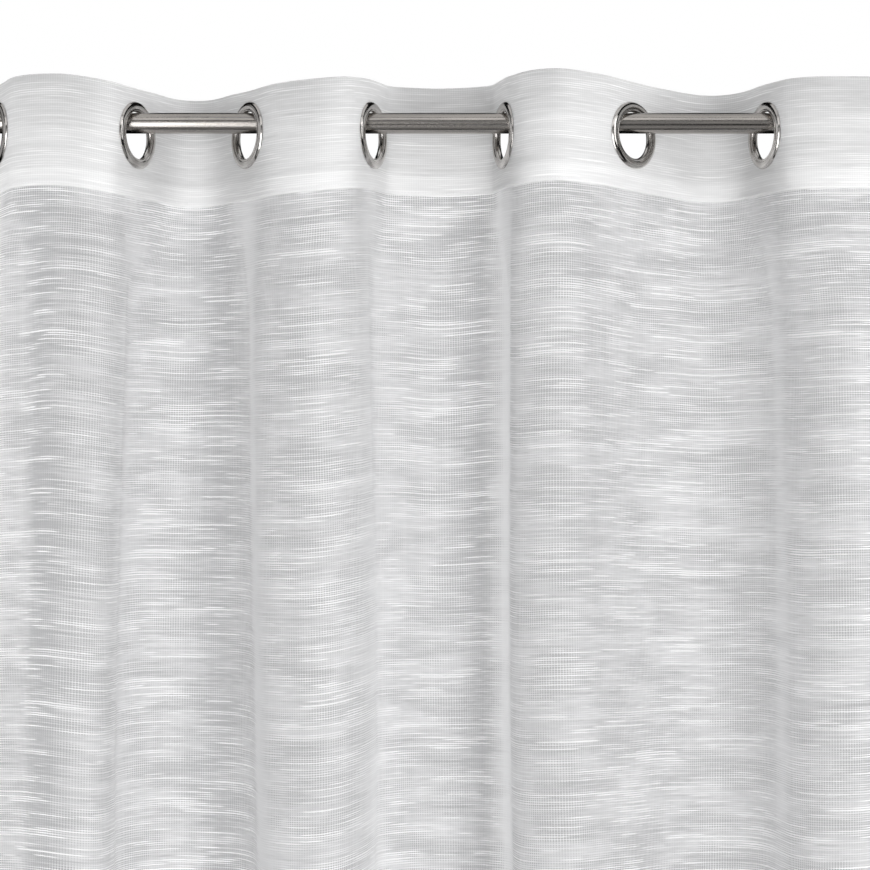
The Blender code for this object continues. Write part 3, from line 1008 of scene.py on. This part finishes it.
def curved(points):
    """A smooth closed outline through its points."""
    ring = np.array(points)
    before, after, beyond = np.roll(ring, 1, 0), np.roll(ring, -1, 0), np.roll(ring, -2, 0)
    rows = []
    for a, b, c, d in zip(before, ring, after, beyond):
        for t in np.arange(CURVE_STEPS) / CURVE_STEPS:
            bend = (2 * a - 5 * b + 4 * c - d) * t**2 + (3 * b - a - 3 * c + d) * t**3
            rows.append(b + 0.5 * ((c - a) * t + bend))
    return [tuple(row) for row in rows]


def front_ring():
    """Domed face with a groove round its inner lip, and the barrel."""
    t, b, e, f = THROAT_RADIUS, BARREL_RADIUS, EYELET_RADIUS, HEADING_FACE
    outline = (
        (t + 0.0008, -f - 0.0011),
        (t, -0.0004),
        (t + 0.0001, f + 0.0002),
        (t + 0.0007, f + 0.0016),
        (t + 0.0016, f + 0.0023),
        (t + 0.0026, f + 0.0020),
        (t + 0.0030, f + 0.0021),
        (t + 0.0042, f + 0.0030),
        (e - 0.0036, f + 0.0031),
        (e - 0.0014, f + 0.0022),
        (e - 0.0003, f + 0.0009),
        (e - 0.0001, f + 0.0001),
        (e - 0.0016, f),
        (b + 0.0010, f),
        (b, f - 0.0006),
        (b, -f + 0.0002),
        (b - 0.0003, -f - 0.0011),
    )
    return turned("eyelet_front_ring", curved(outline), EYELET_SIDES, closed=True)


def back_ring():
    """Flat washer with rolled edges."""
    low, high, f = BARREL_RADIUS + 0.0003, EYELET_RADIUS - 0.0005, HEADING_FACE
    outline = (
        (low + 0.0002, -f),
        (low, -f - 0.0009),
        (low + 0.0009, -f - 0.0017),
        (low + 0.0030, -f - 0.0016),
        (high - 0.0022, -f - 0.0018),
        (high - 0.0005, -f - 0.0012),
        (high, -f - 0.0003),
        (high - 0.0008, -f),
    )
    return turned("eyelet_back_ring", curved(outline), EYELET_SIDES, closed=True)


def polished_nickel():
    """Polished plate with faint wipe marks."""
    material, tree, shader = new_finish("polished_nickel")
    place = add_node(tree, "ShaderNodeTexCoord", {}).outputs["Object"]
    wipes = noise(tree, stretched(tree, place, (180.0, 180.0, 700.0)), 3.0)
    clouds = noise(tree, stretched(tree, place, (60.0, 60.0, 60.0)), 2.0)
    colour = blended(tree, ramp(tree, clouds, 0.30, 0.70), NICKEL_DULL, NICKEL_BRIGHT)
    tree.links.new(colour, shader.inputs["Base Color"])
    tree.links.new(ramp(tree, wipes, 0.35, 0.75, 0.15, 0.22), shader.inputs["Roughness"])
    relief = {"Height": wipes, "Distance": 0.00002, "Strength": 0.15}
    bump = add_node(tree, "ShaderNodeBump", relief)
    tree.links.new(bump.outputs[0], shader.inputs["Normal"])
    shader.inputs["Metallic"].default_value = 1.0
    return material


plate = polished_nickel()
ring_meshes = {"eyelet_front": front_ring(), "eyelet_back": back_ring()}
for index, (x, y, turn) in enumerate(gathers_at(TOP_EDGE)):
    along = Vector((math.cos(turn), math.sin(turn), 0.0))
    outward = Vector((along.y, -along.x, 0.0))
    place = Matrix((along, Vector((0, 0, 1)), outward)).transposed().to_4x4()
    place.translation = (x, y, -EYELET_DROP)
    for node, mesh in ring_meshes.items():
        ring = put(f"{node}_ring_{index + 1}", mesh, plate)
        ring.matrix_world = place
        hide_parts(f"{node}_{index + 1}")


# ---------------------------------------------------------------- floor, light and camera
# A pale floor lies just below the hem. Broad soft lights shine on the cloth from the
# room and from both sides, and lit panels stand round it for the metal to mirror. The
# camera looks up a little at the heading.

FLOOR_GAP = 0.012
FLOOR_RADIUS = 3.2
FLOOR_FADE = 1.6
FLOOR_SIDES = 96
FLOOR_PALE = (0.78, 0.78, 0.78)
FLOOR_GLOW = 0.30
VIEW_POINT = (-0.0033, -2.25, -0.461)
VIEW_TILT = 4.05
VIEW_LENS = 97.57

floor_mesh = turned("floor", ((0.0, 0.0), (FLOOR_RADIUS, 0.0)), FLOOR_SIDES)
floor_material, floor_tree, floor_shader = new_finish("pale_floor")
floor_place = add_node(floor_tree, "ShaderNodeTexCoord", {}).outputs["Object"]
from_middle = add_node(floor_tree, "ShaderNodeVectorMath", {0: floor_place}, operation="LENGTH")
floor_alpha = ramp(floor_tree, from_middle.outputs["Value"], FLOOR_FADE, FLOOR_RADIUS, 1.0, 0.0)
floor_tree.links.new(floor_alpha, floor_shader.inputs["Alpha"])
floor_shader.inputs["Base Color"].default_value = (*FLOOR_PALE, 1.0)
floor_shader.inputs["Roughness"].default_value = 0.7
floor_shader.inputs["Emission Color"].default_value = (1.0, 1.0, 1.0, 1.0)
floor_shader.inputs["Emission Strength"].default_value = FLOOR_GLOW
floor_mesh.materials.append(floor_material)
floor = bpy.data.objects.new("floor", floor_mesh)
bpy.context.collection.objects.link(floor)
floor.location.z = part_low.z - FLOOR_GAP
floor.visible_glossy = False
floor.visible_shadow = False

scene = bpy.context.scene
world = bpy.data.worlds.new("white_studio")
scene.world = world
world.use_nodes = True
world.node_tree.nodes["Background"].inputs["Color"].default_value = (1.0, 1.0, 1.0, 1.0)
world.node_tree.nodes["Background"].inputs["Strength"].default_value = 1.0
world.cycles_visibility.diffuse = False
world.cycles_visibility.glossy = False
scene.view_settings.view_transform = "Standard"

# Broad light on the cloth. Each source is a large soft sky patch: the side it shines
# from in degrees, counted from the room towards the right, its height in degrees, its
# width, and its brightness on a white sheet that faces it.
Soft = namedtuple("Soft", "name side height width brightness")
SOFT_LIGHTS = (
    Soft("key", 25, 8, 60, 0.33),
    Soft("low_front", 0, -25, 60, 0.78),
    Soft("right", 70, 20, 60, 0.40),
    Soft("far_left", -100, 14, 60, 0.92),
    Soft("far_right", 110, 14, 60, 0.66),
)
for light in SOFT_LIGHTS:
    lamp = bpy.data.lights.new(light.name, "SUN")
    lamp.angle = math.radians(light.width)
    lamp.energy = light.brightness * math.pi
    holder = bpy.data.objects.new(light.name, lamp)
    bpy.context.collection.objects.link(holder)
    holder.rotation_euler = (math.radians(90 - light.height), 0.0, math.radians(light.side))
    holder.visible_glossy = False

# Lit panels that the metal mirrors: where each stands, what it faces, its width and
# height, and its brightness. They don't light the cloth.
Panel = namedtuple("Panel", "name place faces width height brightness")
MIRRORED_PANELS = (
    Panel("mirrored_key", (2.0, -2.2, 0.6), (0, 0, 0), 1.3, 2.2, 2.2),
    Panel("mirrored_left", (-2.6, -1.9, 0.1), (0, 0, 0), 2.4, 2.6, 0.60),
    Panel("mirrored_front", (0.0, -3.8, 0.0), (0, 0, 0), 3.4, 2.2, 0.36),
    Panel("mirrored_high", (0.0, -2.2, 1.8), (0, 0, 0), 4.4, 1.4, 1.10),
    Panel("mirrored_above", (0.0, -0.2, 2.6), (0, 0, 0), 4.4, 2.8, 0.75),
    Panel("mirrored_low", (0.0, -1.6, -2.2), (0, 0, 0), 4.0, 1.8, 0.34),
    Panel("mirrored_behind", (0.0, 3.6, 0.4), (0, 0, 0), 5.0, 3.0, 0.95),
    Panel("mirrored_side", (-3.0, 0.4, 0.2), (0, 0, 0), 2.2, 3.0, 0.40),
    Panel("mirrored_other_side", (3.0, 0.4, 0.2), (0, 0, 0), 2.2, 3.0, 0.50),
    Panel("mirrored_low_left", (-0.80, -2.2, -0.90), (-0.24, 0, 0), 0.7, 2.0, 5.0),
)
for light in MIRRORED_PANELS:
    lamp = bpy.data.lights.new(light.name, "AREA")
    lamp.shape = "RECTANGLE"
    lamp.size = light.width
    lamp.size_y = light.height
    lamp.energy = light.brightness * math.pi * light.width * light.height
    holder = bpy.data.objects.new(light.name, lamp)
    bpy.context.collection.objects.link(holder)
    holder.location = light.place
    facing = Vector(light.faces) - Vector(light.place)
    holder.rotation_euler = facing.to_track_quat("-Z", "Y").to_euler()
    holder.visible_camera = False
    holder.visible_diffuse = False

camera_data = bpy.data.cameras.new("camera")
camera_data.sensor_width = 36.0
camera_data.lens = VIEW_LENS
camera = bpy.data.objects.new("camera", camera_data)
bpy.context.collection.objects.link(camera)
camera.location = VIEW_POINT
camera.rotation_euler = (math.radians(90 + VIEW_TILT), 0.0, 0.0)
scene.camera = camera
